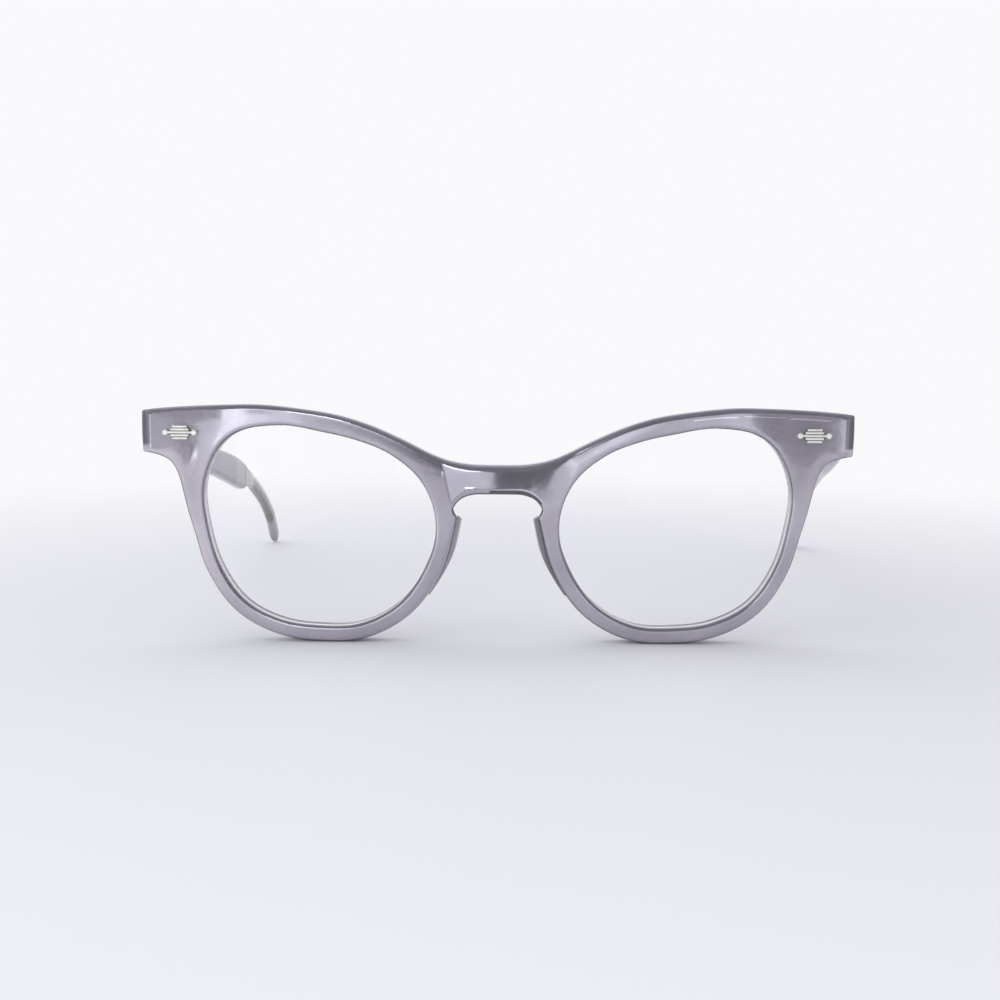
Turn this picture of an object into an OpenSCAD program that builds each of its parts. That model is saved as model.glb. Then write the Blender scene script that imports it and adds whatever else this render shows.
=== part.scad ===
// Cat eye eyeglasses: a sheet acetate front with a keyhole bridge, two lenses,
// glued nose pads, ribbed metal plaques, five-knuckle hinges and wire-core temples.
// X runs to the photo's right, Y from the front face back to the ear tips, Z up.
// The sizes below are measured from the front face and from the surface that the rims stand on.
// The origin of the finished part is the middle of the nose saddle.

/* [Lenses] */
// Width of one lens, measured in the groove
lens_w = 46; // [42:0.5:50]
// Height of one lens
lens_h = 40.4; // [37:0.2:44]
// Gap between the two lenses
lens_gap = 23; // [21:0.5:27]
// Thickness of the lens glass
lens_t = 1.8; // [1.2:0.1:2.2]
// Radius of the lens's front curve
lens_curve_r = 160; // [120:5:300]
// Depth of the lens groove
groove_d = 0.5; // [0.4:0.05:0.8]

/* [Front] */
// Width over both end pieces
front_w = 137.4; // [134:0.2:146]
// Thickness of the sheet
front_t = 4.4; // [4:0.1:5.2]
// Rim below the lens
rim_bottom = 3.1; // [2.6:0.1:4]
// Rim on the temple side
rim_side = 2.8; // [2.4:0.1:3.6]
// Rim on the nose side
rim_nose = 3.2; // [2.8:0.1:3.8]
// Height of the brow line above the lens
brow_h = 3.9; // [3.4:0.1:6]
// Height of the nose saddle above the rims' lowest point
saddle_z = 29.3; // [27:0.1:31]
// Height of the bridge bar
bridge_h = 5.7; // [5:0.1:7.5]
// Width of the keyhole at its widest
keyhole_w = 17; // [15:0.1:18]
// Height of an end piece
end_h = 8.2; // [7.6:0.1:9]
// Drop of the end piece's top corner below the brow's highest point
end_drop = 1.1; // [0.6:0.1:2.4]
// Rounding of the front's edges
edge_r = 1; // [0.6:0.05:1.1]
// Width of the bevel down the end of the front
end_bevel = 1.5; // [1:0.1:1.8]
// Rounding of the back's edges
back_edge = 0.4; // [0.2:0.05:0.6]

/* [Nose pads] */
// How far a pad stands behind the front
pad_d = 3.2; // [2:0.1:3.8]
// How far a pad's upper corner stands towards the nose
pad_nose = 1.1; // [0.6:0.1:1.6]
// Height of a pad's lower end
pad_low_z = 9; // [6:0.5:14]

/* [Plaques] */
// Length of a plaque over its round ends
plaque_l = 6.6; // [5.6:0.1:7.4]
// Number of ridges
ridges = 5; // [3:2:7]
// Thickness of one ridge
ridge_d = 0.55; // [0.4:0.05:0.65]
// Thickness of the plaque's backing plate
plaque_t = 0.5; // [0.3:0.05:0.8]
// Distance of the plaque's middle from the end of the front
plaque_in = 7.6; // [7.4:0.1:8.4]
// Diameter of a plaque pin
pin_d = 1; // [0.8:0.1:1.2]
// Distance between a plaque's two pins
pin_gap = 3.2; // [2.6:0.1:3.4]

/* [Hinges] */
// Outer diameter of the knuckles
knuckle_d = 2.5; // [2.3:0.1:2.8]
// Height of one knuckle
knuckle_h = 1.2; // [1:0.05:1.3]
// Diameter of the screw's shank
screw_d = 1.4; // [1.2:0.05:1.6]
// Diameter of the screw's head
screw_head_d = 2.2; // [1.9:0.1:2.5]
// Thickness of the hinge plates
plate_t = 0.8; // [0.6:0.05:1]
// Length of the plate on the front
front_plate_l = 6.6; // [6:0.1:7.5]
// Length of the plate on the temple
temple_plate_l = 10; // [8:0.5:13]
// Diameter of the temple's rivets
rivet_d = 1.1; // [0.9:0.1:1.3]

/* [Temples] */
// Thickness of a temple at its butt
temple_t = 3.7; // [3.5:0.1:4.2]
// Thickness of a temple's thin part
temple_tip_t = 2.4; // [2.2:0.1:3.2]
// Depth of the wide part
temple_deep = 7; // [6:0.1:8.5]
// Depth of the thin part
temple_thin = 3.6; // [3.2:0.1:4.5]
// Distance from the front to where the wide part ends
wide_end_y = 73; // [60:1:78]
// Distance from the front to the tip
tip_y = 122; // [116:1:140]
// Angle that the temple on the photo's left opens past square
splay_left = 0; // [0:0.5:12]
// Angle that the temple on the photo's right opens past square
splay_right = 10.6; // [0:0.2:12]
// Thickness of the core wire
core_t = 1.1; // [0.8:0.1:1.2]
// Depth of the core wire
core_h = 1.5; // [1:0.1:1.8]

/* [Fits] */
// Clearance between the screw and the knuckles' bores
screw_fit = 0.05; // [0.03:0.01:0.08]
// Clearance between two knuckles
knuckle_fit = 0.08; // [0.05:0.01:0.12]
// Clearance of a lens, a plate, a pin or a wire in its seat
seat_fit = 0.04; // [0.02:0.01:0.08]
// Gap between a temple's butt and the front
butt_gap = 0.3; // [0.25:0.05:0.5]

/* [Hidden] */
$fn = 48;

// The lens's outline: its radius every 22.5 degrees, from the temple side upwards
lens_shape = [21.8, 24, 24.6, 21.4, 18.7, 18.5, 20, 22, 22.8, 22.1, 21.6, 20.7, 19.6, 20, 20.8, 21];

open_w = lens_w - 2 * groove_d;
open_h = lens_h - 2 * groove_d;
lens_x = (lens_gap + lens_w) / 2;
lens_z = rim_bottom + open_h / 2;
lens_top_z = lens_z + open_h / 2;
brow_z = lens_top_z + brow_h;
bridge_z = saddle_z + bridge_h;
end_x = front_w / 2;
end_top_z = brow_z - end_drop;
end_low_z = end_top_z - end_h;
end_mid_z = end_low_z + end_h / 2;

// The groove and the lens that sits in it
groove_y = front_t / 2;
groove_lip = 1.5;
groove_floor = 1.1;

// The hinge stands between the plaque's pins and the temple
temple_in_x = end_x - 0.3 - temple_t;
axis_x = temple_in_x - 0.4;
axis_y = front_t + knuckle_d / 2 + 0.35;
hinge_h = 5 * knuckle_h;
hinge_z = end_mid_z - 0.2;
plaque_x = end_x - plaque_in;
plate_sink = 0.4;

// A curve through points: one stretch between b and c, at f from 0 to 1
function stretch(a, b, c, d, f) =
    0.5 * (2 * b + (c - a) * f + (2 * a - 5 * b + 4 * c - d) * f * f + (3 * b - a - 3 * c + d) * f * f * f);
function wrap(i, n) = ((i % n) + n) % n;
function round_list(v, u) =
    let (n = len(v), i = floor(u), f = u - i)
    stretch(v[wrap(i - 1, n)], v[wrap(i, n)], v[wrap(i + 1, n)], v[wrap(i + 2, n)], f);
function open_list(v, i, f) =
    let (n = len(v) - 1)
    stretch(v[max(i - 1, 0)], v[i], v[min(i + 1, n)], v[min(i + 2, n)], f);
function smooth(v, steps) =
    [for (i = [0 : len(v) - 2]) for (k = [0 : steps - 1]) open_list(v, i, k / steps)];
function unit(v) = v / max(norm(v), 0.000001);
function mix(a, b, f) = a + (b - a) * f;
function ease(f) = let (g = min(max(f, 0), 1)) g * g * (3 - 2 * g);

// The lens outline, scaled to its real width and height about the middle of its box
function raw_lens(a) = round_list(lens_shape, a / 22.5) * [cos(a), sin(a)];
raw_x = [for (a = [0 : 2 : 358]) raw_lens(a)[0]];
raw_z = [for (a = [0 : 2 : 358]) raw_lens(a)[1]];
raw_mid = [max(raw_x) + min(raw_x), max(raw_z) + min(raw_z)] / 2;
raw_size = [max(raw_x) - min(raw_x), max(raw_z) - min(raw_z)];
function lens_point(a, w, h) =
    let (p = raw_lens(a) - raw_mid)
    [lens_x + p[0] * w / raw_size[0], lens_z + p[1] * h / raw_size[1]];
function rim_in(a) = lens_point(a, open_w, open_h);
function rim_normal(a) =
    let (t = unit(rim_in(a + 1) - rim_in(a - 1)))
    [t[1], -t[0]];

// The rim's width goes from the nose side, round the bottom, to the temple side
function rim_width(a) =
    a < 270 ? mix(rim_nose, rim_bottom, ease((a - 190) / 70)) : mix(rim_bottom, rim_side, ease((a - 275) / 50));
function rim_out(a) = rim_in(a) + rim_normal(a) * rim_width(a);

// The rest of the outline, as [angle round the lens, x, z, edge rounding, inner end of the bevel]
under_end = [
    for (a = [-12, -4]) concat(a, rim_out(a + 360), edge_r),
    [6, end_x - 8.6, end_low_z - 11.6, edge_r],
    [14, end_x - 7.6, end_low_z - 7.3, edge_r],
    [21, end_x - 6.8, end_low_z - 4.2, edge_r],
    [27, end_x - 5.5, end_low_z - 1.8, edge_r],
    [32, end_x - 3.4, end_low_z - 0.6, edge_r],
    [36, end_x - 1, end_low_z, edge_r * 0.6]
];
bevel_x = end_x - end_bevel;
end_side = [
    [36.5, end_x - 0.4, end_low_z + 0.05, edge_r, [bevel_x - 0.03, end_low_z + 0.8]],
    [37.5, end_x - 0.1, end_low_z + 0.4, edge_r, [bevel_x, end_low_z + 0.83]],
    [41, end_x, end_mid_z, edge_r, [bevel_x, end_mid_z]],
    [44.5, end_x - 0.1, end_top_z - 0.4, edge_r, [bevel_x, end_top_z - 0.93]],
    [45.5, end_x - 0.45, end_top_z - 0.03, edge_r, [bevel_x - 0.03, end_top_z - 0.9]]
];
brow_line = [
    [48, end_x - 2.4, end_top_z + 0.25, edge_r],
    [52, end_x - 8, brow_z - 0.4, edge_r],
    [58, end_x - 16, brow_z - 0.05, edge_r],
    [66, end_x - 23, brow_z, edge_r],
    [78, lens_x + 4, brow_z - 0.7, edge_r],
    [93, lens_x - 3.5, brow_z - 1.9, edge_r],
    [108, lens_x - 10, brow_z - 3.9, edge_r],
    [122, lens_x - 16, mix(brow_z, bridge_z, 0.57), edge_r],
    [134, lens_x - 21.5, mix(brow_z, bridge_z, 0.81), edge_r],
    [142, keyhole_w / 2 + 0.8, bridge_z + 0.8, edge_r],
    [147, keyhole_w / 2 - 3, bridge_z + 0.15, edge_r],
    [150, 2, bridge_z, edge_r]
];
middle = [
    [151, 0, bridge_z, edge_r],
    [154, 0, saddle_z + bridge_h / 2, edge_r],
    [157, 0, saddle_z, edge_r]
];
keyhole = [
    [159, 2, saddle_z, edge_r],
    [162, keyhole_w / 2 - 3.7, saddle_z - 0.1, edge_r],
    [166, keyhole_w / 2 - 1.4, saddle_z - 0.9, edge_r * 0.8],
    [171, keyhole_w / 2, saddle_z - 2.5, edge_r * 0.7],
    [174, keyhole_w / 2 - 0.1, saddle_z - 3.4, edge_r * 0.6],
    [177, keyhole_w / 2 - 0.5, saddle_z - 4.3, edge_r * 0.5],
    [181, keyhole_w / 2 - 0.25, saddle_z - 5.6, edge_r * 0.6],
    for (a = [187, 192]) concat(a, rim_out(a), edge_r)
];
stations = concat(
    smooth(under_end, 2),
    end_side,
    smooth(brow_line, 3),
    middle,
    smooth(keyhole, 2),
    [for (a = [192 : 6 : 342]) concat(a, rim_out(a), edge_r)]
);
n_stations = len(stations);

function station_point(i) = let (s = stations[wrap(i, n_stations)]) [s[1], s[2]];
function on_middle(i) = station_point(i)[0] < 0.001;
function out_normal(i) =
    let (
        p = station_point(i),
        a = on_middle(i - 1) && on_middle(i) ? [2 * p[0] - station_point(i + 1)[0], station_point(i + 1)[1]]
            : station_point(i - 1),
        b = on_middle(i + 1) && on_middle(i) ? [2 * p[0] - station_point(i - 1)[0], station_point(i - 1)[1]]
            : station_point(i + 1),
        t = unit(b - a)
    )
    [t[1], -t[0]];

// An edge's quarter round, from the flat face to the wall: [inset, depth] of each point
front_round = [for (k = [0 : 3]) [1 - sin(30 * k), 1 - cos(30 * k)]];
back_round = [[0, 1], [1, 0]];
groove_profile = [
    [0, groove_y - groove_lip / 2],
    [groove_d, groove_y - groove_floor / 2],
    [groove_d, groove_y + groove_floor / 2],
    [0, groove_y + groove_lip / 2]
];
outer_start = len(front_round) + len(groove_profile) + len(back_round);
in_edge = 0.7;

function place(p, n, inset, y) = [p[0] + n[0] * inset, y, p[1] + n[1] * inset];
function section(i) =
    let (
        s = stations[i],
        p = rim_in(s[0]),
        n = rim_normal(s[0]),
        q = station_point(i),
        m = -out_normal(i),
        flat = on_middle(i) && on_middle(i - 1) && on_middle(i + 1),
        r = flat ? 0 : s[3],
        b = flat ? 0 : back_edge,
        v = len(s) > 4 ? s[4] - q : m * r
    )
    concat(
        [for (k = front_round) place(p, n, in_edge * k[0], in_edge * k[1])],
        [for (k = groove_profile) place(p, n, k[0], k[1])],
        [for (k = back_round) place(p, n, back_edge * k[0], front_t - back_edge * k[1])],
        [for (k = [1, 0]) place(q, m, b * back_round[k][0], front_t - b * back_round[k][1])],
        [for (k = [3, 2, 1, 0]) place(q, v, front_round[k][0], r * front_round[k][1])]
    );
n_section = len(section(0));

function mirrored(points) = [for (p = points) [-p[0], p[1], p[2]]];
function turned(faces, shift) = [for (f = faces) [for (k = [len(f) - 1 : -1 : 0]) f[k] + shift]];

// The front: both halves share their points on the middle plane, so they form one solid
half_points = [for (i = [0 : n_stations - 1]) each section(i)];
half_faces = [
    for (i = [0 : n_stations - 1])
        for (j = [0 : n_section - 1])
            if (!(on_middle(i) && on_middle(i + 1) && j >= outer_start && j < n_section - 1))
                let (k = wrap(i + 1, n_stations), l = wrap(j + 1, n_section))
                [i * n_section + j, i * n_section + l, k * n_section + l, k * n_section + j]
];

// A tube through rings of points, with flat ends
function tube_faces(rings, m) = concat(
    [
        for (i = [0 : rings - 2]) for (j = [0 : m - 1])
            [i * m + j, i * m + (j + 1) % m, (i + 1) * m + (j + 1) % m, (i + 1) * m + j]
    ],
    [[for (j = [m - 1 : -1 : 0]) j], [for (j = [0 : m - 1]) (rings - 1) * m + j]]
);
module tube(rings)
    polyhedron([for (r = rings) each r], tube_faces(len(rings), len(rings[0])), convexity = 6);

// Everything is drawn from the front face and the surface it stands on, then set about the saddle
module seated() translate([0, -front_t / 2, -saddle_z]) children();
module on_side(s) mirror([s < 0 ? 1 : 0, 0, 0]) children();
module along_y(x, y, z) translate([x, y, z]) rotate([-90, 0, 0]) children();
module acetate() color([0.66, 0.65, 0.73]) children();
module silver() color([0.85, 0.85, 0.87]) children();
module nickel() color([0.72, 0.72, 0.74]) children();

module pin_holes(s, d, y, length)
    for (k = [-0.5, 0.5])
        along_y(s * (plaque_x + k * pin_gap), y, end_mid_z) cylinder(d = d, h = length);

module front_frame() acetate() seated() difference() {
    polyhedron(
        concat(half_points, mirrored(half_points)),
        concat(half_faces, turned(half_faces, len(half_points))),
        convexity = 10
    );
    for (s = [-1, 1]) {
        pin_holes(s, pin_d + 2 * seat_fit, -1, front_t + 2);
        on_side(s) plate_pocket();
    }
}

// A shallow pocket in the front's back face holds the hinge plate
module plate_pocket()
    translate([front_plate_x() - seat_fit, front_t - plate_sink, hinge_z - hinge_h / 2 - seat_fit])
        cube([front_plate_l + 2 * seat_fit, plate_sink + 1, hinge_h + 2 * seat_fit]);
function front_plate_x() = axis_x - 0.3 - front_plate_l;

// A lens: curved glass in the opening and a thin bevel in the groove
module lens_plate(grow, y, t)
    along_y(0, y, 0) linear_extrude(t)
        polygon([for (a = [0 : 5 : 355]) let (p = rim_in(a) + rim_normal(a) * grow) [p[0], -p[1]]]);
module lens(s) color([0.9, 0.93, 0.95, 0.35]) seated() on_side(s) {
    sag = lens_curve_r - sqrt(pow(lens_curve_r, 2) - pow(open_w / 2, 2));
    front_y = groove_y - lens_t / 2 - sag;
    bevel_t = groove_floor - 4 * seat_fit;
    intersection() {
        lens_plate(-seat_fit, front_y - 1, lens_t + sag + 2);
        difference() {
            translate([lens_x, front_y + lens_curve_r, lens_z]) sphere(r = lens_curve_r, $fn = 200);
            translate([lens_x, front_y + lens_curve_r, lens_z]) sphere(r = lens_curve_r - lens_t, $fn = 200);
        }
    }
    difference() {
        lens_plate(groove_d - seat_fit, groove_y - bevel_t / 2, bevel_t);
        lens_plate(-0.5, groove_y - bevel_t, 2 * bevel_t);
    }
}

// A nose pad hugs the nasal wall and the back face, and tapers to nothing below
pad_stations = [
    for (i = [0 : n_stations - 1])
        let (p = station_point(i))
        if (stations[i][0] > 174 && p[0] < lens_x && p[1] > pad_low_z && p[1] < saddle_z - 4.6) i
];
pad_top_z = station_point(pad_stations[0])[1];
function pad_ring(i) =
    let (
        p = station_point(i),
        m = out_normal(i),
        f = ease((p[1] - pad_low_z + 1) / (pad_top_z - pad_low_z - 3)),
        u = mix(0.3, pad_nose, f),
        d = mix(1, pad_d, f),
        outline = [
            [-2.4, 0], [-2.2, 0.7 * d], [-1.2, d], [-0.3, 0.85 * d], [0.7 * u, 0.2 * d],
            [u, -0.35 * front_t], [0.8 * u, -0.6 * front_t], [0, -0.68 * front_t], [0, 0]
        ]
    )
    [for (k = outline) place(p, m, k[0] + seat_fit, front_t + k[1] + seat_fit)];
module nose_pad(s) acetate() seated() on_side(s) tube([for (i = pad_stations) pad_ring(i)]);

// A plaque: half-round ridges on a backing plate, the middle one ending in two lobes
ridge_pitch = ridge_d * 0.94;
lobe_d = 2 * ridge_d;
function ridge_l(k) = k == 0 ? plaque_l - lobe_d : plaque_l * (0.62 - 0.09 * abs(k));
module plaque(s) silver() seated() on_side(s) translate([plaque_x, 0, end_mid_z]) {
    half = (ridges - 1) / 2;
    plate_z = half * ridge_pitch;
    for (k = [-half : half])
        translate([-ridge_l(k) / 2, -plaque_t, k * ridge_pitch])
            rotate([0, 90, 0]) cylinder(d = ridge_d, h = ridge_l(k));
    rotate([90, 0, 0]) linear_extrude(plaque_t)
        polygon([
            [-plaque_l * 0.33, 0], [-ridge_l(half) / 2, -plate_z], [ridge_l(half) / 2, -plate_z],
            [plaque_l * 0.33, 0], [ridge_l(half) / 2, plate_z], [-ridge_l(half) / 2, plate_z]
        ]);
    for (k = [-1, 1])
        translate([k * (plaque_l - lobe_d) / 2, 0, 0])
            rotate([90, 0, 0]) cylinder(d = lobe_d, h = plaque_t + ridge_d * 0.6);
}
module plaque_pins(s) silver() seated()
    pin_holes(s, pin_d, 0, front_t - plate_sink + plate_t);

// The hinge: three knuckles on the front's plate and two on the temple's
module knuckles(levels) for (k = levels)
    translate([axis_x, axis_y, hinge_z + (k - 0.5) * knuckle_h + knuckle_fit / 2])
        cylinder(d = knuckle_d, h = knuckle_h - knuckle_fit);
module screw_bore(d)
    translate([axis_x, axis_y, hinge_z - hinge_h]) cylinder(d = d, h = 2 * hinge_h);
module front_hinge(s) nickel() seated() difference() {
    on_side(s) difference() {
        union() {
            translate([front_plate_x(), front_t - plate_sink, hinge_z - hinge_h / 2 + knuckle_fit / 2])
                cube([front_plate_l, plate_t, hinge_h - knuckle_fit]);
            knuckles([-2, 0, 2]);
            for (k = [-2, 0, 2])
                translate([
                    axis_x - knuckle_d / 2, front_t + seat_fit,
                    hinge_z + (k - 0.5) * knuckle_h + knuckle_fit / 2
                ])
                    cube([knuckle_d / 2, axis_y - knuckle_d / 4 - front_t - seat_fit, knuckle_h - knuckle_fit]);
        }
        screw_bore(screw_d + 2 * screw_fit);
    }
    pin_holes(s, pin_d + 2 * seat_fit, 0, front_t + 2);
}
module hinge_screw(s) nickel() seated() on_side(s)
    translate([axis_x, axis_y, hinge_z]) difference() {
        union() {
            translate([0, 0, -hinge_h / 2 - 0.1]) cylinder(d = screw_d, h = hinge_h + 0.2);
            translate([0, 0, hinge_h / 2]) cylinder(d = screw_head_d, h = 0.7);
        }
        translate([-screw_head_d, -0.15, hinge_h / 2 + 0.4]) cube([2 * screw_head_d, 0.3, 1]);
    }

// A temple's path: [y, height above the ground, depth, thickness] from the butt to the tip
bend_y = wide_end_y + 15.5;
tip_run = tip_y - bend_y;
wide_t = mix(temple_t, temple_tip_t, 0.6);
temple_line = [
    [front_t + butt_gap, end_mid_z, end_h - 0.5, temple_t],
    [front_t + 10, end_mid_z * 0.93, temple_deep, temple_t],
    [30, end_mid_z * 0.837, temple_deep * 0.92, mix(temple_t, wide_t, 0.5)],
    [46, end_mid_z * 0.76, temple_deep * 0.91, wide_t],
    [wide_end_y - 12, end_mid_z * 0.686, temple_deep, wide_t],
    [wide_end_y - 4, end_mid_z * 0.642, temple_deep * 1.03, wide_t],
    [wide_end_y + 3, end_mid_z * 0.597, temple_deep * 0.95, wide_t],
    [bend_y - 6, end_mid_z * 0.568, mix(temple_thin, temple_deep, 0.33), mix(wide_t, temple_tip_t, 0.5)],
    [bend_y, end_mid_z * 0.529, temple_thin, temple_tip_t],
    [bend_y + tip_run * 0.2, end_mid_z * 0.466, temple_thin, temple_tip_t],
    [bend_y + tip_run * 0.4, end_mid_z * 0.396, temple_thin, temple_tip_t],
    [bend_y + tip_run * 0.61, end_mid_z * 0.306, temple_thin, temple_tip_t],
    [bend_y + tip_run * 0.81, end_mid_z * 0.19, temple_thin, temple_tip_t],
    [tip_y - 2, 3, temple_thin, temple_tip_t],
    [tip_y - 0.7, 1.4, temple_thin * 0.78, temple_tip_t * 0.85],
    [tip_y, 0.55, 1.5, 1.2]
];
temple_path = concat(smooth(temple_line, 3), [temple_line[len(temple_line) - 1]]);
temple_mid_x = temple_in_x + temple_t / 2;
core_first = 1;
core_last = len(temple_path) - 10;
function path_z(y) = lookup(y, [for (p = temple_path) [p[0], p[1]]]);
function path_lean(i) =
    let (
        a = temple_path[max(i - 1, 0)],
        b = temple_path[min(i + 1, len(temple_path) - 1)]
    )
    i == 0 ? 0 : atan2(b[1] - a[1], b[0] - a[0]);

// A ring with rounded corners across the path: t thick, h deep
function rounded(t, h, r) = [
    for (c = [[1, -1], [1, 1], [-1, 1], [-1, -1]])
        let (start = c == [1, -1] ? -90 : c == [1, 1] ? 0 : c == [-1, 1] ? 90 : 180)
        for (a = [0, 45, 90])
            [c[0] * (t / 2 - r) + r * cos(start + a), c[1] * (h / 2 - r) + r * sin(start + a)]
];
function path_ring(i, t, h, r, push = 0) =
    let (p = temple_path[i], lean = path_lean(i))
    [
        for (q = rounded(t, h, r))
            [temple_mid_x + q[0], p[0] - sin(lean) * q[1] + push, p[1] + cos(lean) * q[1]]
    ];

// The butt is cut to lie flat behind the front when the temple stands at its own splay
function butt_cut(ring, splay) = [
    for (p = ring)
        [p[0], axis_y + (front_t + butt_gap - axis_y) / cos(splay) + (p[0] - axis_x) * tan(splay), p[2]]
];
function outer_ring(i) =
    let (p = temple_path[i])
    path_ring(i, p[3], p[2], min(1.1, 0.42 * p[3], 0.42 * p[2]));
function channel_ring(i) =
    path_ring(i, core_t + 2 * seat_fit, core_h + 2 * seat_fit, 0.4, i == core_last ? 0.05 : 0);
ring_size = len(rounded(1, 1, 0.1));

module splayed(s)
    on_side(s) translate([axis_x, axis_y, 0]) rotate([0, 0, s < 0 ? -splay_left : -splay_right])
        translate([-axis_x, -axis_y, 0]) children();

// The temple's plate, let into its inner face; grow widens it for the pocket
plate_y = axis_y + knuckle_d / 2 + 0.25;
plate_end_y = plate_y + temple_plate_l;
module temple_plate(grow, x0, x1) {
    low_z = hinge_z - hinge_h / 2;
    high_z = hinge_z + hinge_h / 2;
    rear_z = path_z(plate_end_y);
    translate([x0, 0, 0]) rotate([90, 0, 90]) linear_extrude(x1 - x0)
        polygon([
            [plate_y - grow, low_z - grow], [plate_end_y + grow, rear_z - 2.8 - grow],
            [plate_end_y + grow, rear_z + 2.8 + grow], [plate_y - grow, high_z + grow]
        ]);
}
rivet_places = [
    for (k = [-1, 1])
        let (y = plate_y + temple_plate_l * (0.54 - 0.2 * k))
        [y, path_z(y) + k * 1.95]
];
module rivets(d, x0, x1)
    for (p = rivet_places)
        translate([x0, p[0], p[1]]) rotate([0, 90, 0]) cylinder(d = d, h = x1 - x0);

module temple_body(splay) {
    m = ring_size;
    last = len(temple_path) - 1;
    outer = [for (i = [0 : last]) i == 0 ? butt_cut(outer_ring(0), splay) : outer_ring(i)];
    inner = [for (i = [0 : core_last]) i == 0 ? butt_cut(channel_ring(0), splay) : channel_ring(i)];
    base = len(outer) * m;
    polyhedron(
        concat([for (r = outer) each r], [for (r = inner) each r]),
        concat(
            [
                for (i = [0 : last - 1]) for (j = [0 : m - 1])
                    [i * m + j, i * m + (j + 1) % m, (i + 1) * m + (j + 1) % m, (i + 1) * m + j]
            ],
            [[for (j = [0 : m - 1]) last * m + j]],
            [
                for (i = [0 : core_last - 1]) for (j = [m - 1 : -1 : 0])
                    [
                        base + i * m + (j + 1) % m, base + i * m + j,
                        base + (i + 1) * m + j, base + (i + 1) * m + (j + 1) % m
                    ]
            ],
            [[for (j = [m - 1 : -1 : 0]) base + core_last * m + j]],
            [for (j = [0 : m - 1]) [(j + 1) % m, j, base + j, base + (j + 1) % m]]
        ),
        convexity = 8
    );
}
module temple(s) acetate() seated() splayed(s) difference() {
    temple_body(s < 0 ? splay_left : splay_right);
    translate([axis_x, axis_y, 0]) cylinder(r = knuckle_d / 2 + 0.25, h = 60);
    temple_plate(seat_fit, axis_x - 1, temple_in_x + plate_sink + seat_fit);
    translate([axis_x, axis_y, hinge_z - hinge_h / 2 - seat_fit])
        cube([temple_in_x + plate_sink + seat_fit - axis_x, plate_y - axis_y + 1, hinge_h + 2 * seat_fit]);
    rivets(rivet_d + 2 * seat_fit, axis_x - 1, end_x + 1);
}
module temple_core(s) nickel() seated() splayed(s)
    tube([for (i = [core_first : core_last]) path_ring(i, core_t, core_h, 0.35)]);
module temple_hinge(s) nickel() seated() splayed(s) difference() {
    x0 = temple_in_x + plate_sink - plate_t;
    union() {
        temple_plate(0, x0, temple_in_x + plate_sink);
        knuckles([-1, 1]);
        for (k = [-1, 1])
            translate([x0, axis_y, hinge_z + (k - 0.5) * knuckle_h + knuckle_fit / 2])
                cube([plate_t, plate_y - axis_y + 0.5, knuckle_h - knuckle_fit]);
    }
    screw_bore(screw_d + 2 * screw_fit);
    rivets(rivet_d + 2 * seat_fit, x0 - 1, end_x + 1);
}
module temple_rivets(s) nickel() seated() splayed(s)
    rivets(rivet_d, temple_in_x + plate_sink - plate_t, temple_in_x + temple_t);

front_frame();
lens(-1);  // lens_left
lens(1);  // lens_right
nose_pad(-1);  // nose_pad_left
nose_pad(1);  // nose_pad_right
plaque(-1);  // plaque_left
plaque(1);  // plaque_right
plaque_pins(-1);  // plaque_pins_left
plaque_pins(1);  // plaque_pins_right
front_hinge(-1);  // front_hinge_left
front_hinge(1);  // front_hinge_right
hinge_screw(-1);  // hinge_screw_left
hinge_screw(1);  // hinge_screw_right
temple_hinge(-1);  // temple_hinge_left
temple_hinge(1);  // temple_hinge_right
temple_rivets(-1);  // temple_rivets_left
temple_rivets(1);  // temple_rivets_right
temple_core(-1);  // temple_core_left
temple_core(1);  // temple_core_right
temple(-1);  // temple_left
temple(1);  // temple_right
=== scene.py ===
import bpy
import math
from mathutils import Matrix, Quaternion, Vector


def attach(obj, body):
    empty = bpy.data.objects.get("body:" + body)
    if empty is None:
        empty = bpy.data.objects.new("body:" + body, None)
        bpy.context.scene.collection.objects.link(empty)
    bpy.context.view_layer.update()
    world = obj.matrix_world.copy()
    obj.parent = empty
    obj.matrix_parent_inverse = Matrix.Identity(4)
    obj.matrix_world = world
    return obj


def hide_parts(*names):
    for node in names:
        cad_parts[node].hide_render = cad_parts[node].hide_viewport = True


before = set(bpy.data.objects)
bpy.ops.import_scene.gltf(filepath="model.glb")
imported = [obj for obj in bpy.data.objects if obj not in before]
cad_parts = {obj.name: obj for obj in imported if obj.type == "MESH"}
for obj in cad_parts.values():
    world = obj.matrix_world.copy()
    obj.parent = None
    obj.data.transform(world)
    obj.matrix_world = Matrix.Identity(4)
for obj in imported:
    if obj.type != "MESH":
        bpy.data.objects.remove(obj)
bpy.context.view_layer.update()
MM = 0.001
SIDES = {"left": -1, "right": 1}


# The front: one sheet of translucent smoke-lilac acetate, 4.4 mm thick, sawn and milled to
# both rims, the keyhole bridge and the squared end pieces, then tumbled until every edge is
# round and glossy. A groove inside each opening takes the lens.
LENS_SHAPE = [21.8, 24, 24.6, 21.4, 18.7, 18.5, 20, 22, 22.8, 22.1, 21.6, 20.7, 19.6, 20, 20.8, 21]
FRONT_W, FRONT_T = 137.4, 4.4
LENS_W, LENS_H, LENS_GAP, GROOVE = 46, 40.4, 23, 0.5
RIM_BOTTOM, RIM_SIDE, RIM_NOSE = 3.1, 2.8, 3.2
BROW_H, SADDLE_Z, BRIDGE_H, KEYHOLE_W = 3.9, 29.3, 5.7, 17
END_H, END_DROP, END_BEVEL = 8.2, 1.1, 1.9
EDGE, BACK_EDGE, INNER_EDGE = 1.0, 0.4, 0.7
CROWN_OUT, CROWN_IN, CROWN_W = 0.045, 0.02, 1.4
STRIPS = (0.12, 0.26, 0.4, 0.52, 0.78)
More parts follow.
